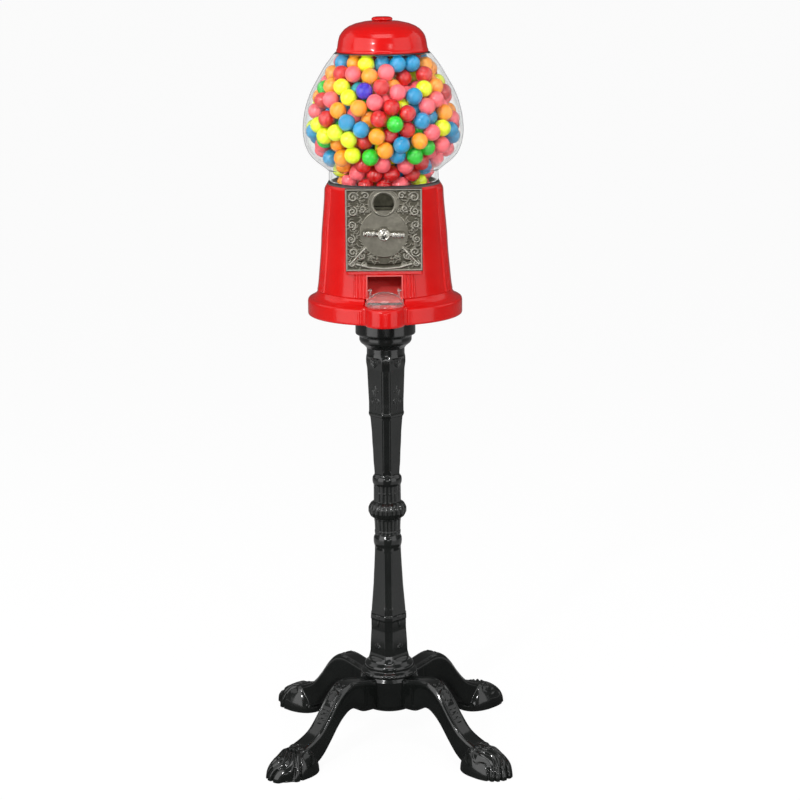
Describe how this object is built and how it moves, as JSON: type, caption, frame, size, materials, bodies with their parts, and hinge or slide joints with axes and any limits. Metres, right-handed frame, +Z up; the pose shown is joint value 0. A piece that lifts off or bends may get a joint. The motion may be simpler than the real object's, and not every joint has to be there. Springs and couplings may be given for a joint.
{
  "type": "gumball vending machine",
  "caption": "Gumball vending machine with a pear-shaped glass globe, painted cast body, turn-knob coin mechanism and chute flap, on a cast pedestal with claw-foot legs.",
  "frame": {"origin": "on the floor, at the centre of the four claw feet, straight under the column", "axes": "+Z up, -Y to the front, where the knob, plate and chute are, +X to the machine's left-hand side as it faces you from behind, which is the viewer's right"},
  "size_m": [0.3138, 0.3138, 0.94],
  "materials": {
    "black_cast": "glossy black enamel over cast iron",
    "zinc_steel": "zinc-plated",
    "red_cast": "glossy red enamel over cast metal",
    "red_chute": "semi-gloss red enamel",
    "black_plastic": "matte",
    "clear_plastic": "clear, polished",
    "pewter": "aged nickel plate over cast zinc, relief pattern",
    "knob_metal": "worn nickel plate",
    "coin_wheel_metal": "dull",
    "white_plastic": "moulded",
    "globe_glass": "clear, polished",
    "rubber_gasket": "soft",
    "gumball_candy": "mixed bright colours, satin sugar shell"
  },
  "bodies": {
    "machine": {"base_flange": "red_cast", "base_hub": "black_cast", "bead_ring": "black_cast", "body_screws": "zinc_steel", "body_shell": "red_cast", "center_rod": "zinc_steel", "chute": "red_chute", "coin_tray": "black_plastic", "drop_shield": "zinc_steel", "face_plate": "pewter", "flap_pins": "zinc_steel", "globe": "globe_glass", "globe_gasket": "rubber_gasket", "gumballs": "gumball_candy", "head_bolts": "zinc_steel", "hopper": "white_plastic", "leg_back_left": "black_cast", "leg_back_right": "black_cast", "leg_bolts": "zinc_steel", "leg_front_left": "black_cast", "leg_front_right": "black_cast", "lid_gasket": "rubber_gasket", "lower_column": "black_cast", "mech_back_plate": "zinc_steel", "mech_screws": "zinc_steel", "pawl_pin": "zinc_steel", "rod_nut": "zinc_steel", "rod_washer": "zinc_steel", "tie_rod": "zinc_steel", "tie_rod_nuts": "zinc_steel", "tie_rod_washers": "zinc_steel", "top_collar": "black_cast", "upper_column": "black_cast"},
    "lid": {"lid": "red_cast"},
    "lid_nut": {"lid_nut": "red_cast"},
    "knob": {"knob_handle": "knob_metal", "knob_shaft": "zinc_steel", "coin_wheel": "coin_wheel_metal", "ratchet_wheel": "zinc_steel", "shaft_nut": "zinc_steel", "pinion": "white_plastic"},
    "pawl": {"pawl": "zinc_steel"},
    "gumball_wheel": {"gumball_wheel": "white_plastic", "crown_ring": "white_plastic"},
    "flap": {"flap": "clear_plastic"}
  },
  "joints": [
    {"name": "lid_lift", "type": "slide", "parent": "machine", "child": "lid", "axis": [0, 0, 1], "range_m": [0, 0.06]},
    {"name": "lid_nut_turn", "type": "hinge", "parent": "lid", "child": "lid_nut", "pos_m": [0, 0, 0.935], "axis": [0, 0, 1], "continuous": true},
    {"name": "knob_turn", "type": "hinge", "parent": "machine", "child": "knob", "pos_m": [0, -0.084, 0.683], "axis": [0, 1, 0], "continuous": true},
    {"name": "wheel_turn", "type": "hinge", "parent": "machine", "child": "gumball_wheel", "pos_m": [0, 0, 0.7], "axis": [0, 0, 1], "continuous": true},
    {"name": "pawl_lift", "type": "hinge", "parent": "machine", "child": "pawl", "pos_m": [0.022, -0.073, 0.7], "axis": [0, 1, 0], "range_deg": [0, 18]},
    {"name": "flap_swing", "type": "hinge", "parent": "machine", "child": "flap", "pos_m": [0, -0.078, 0.612], "axis": [-1, 0, 0], "range_deg": [0, 70]}
  ],
  "couplings": [
    {"joint": "wheel_turn", "follows": "knob_turn", "ratio": 0.16667}
  ]
}
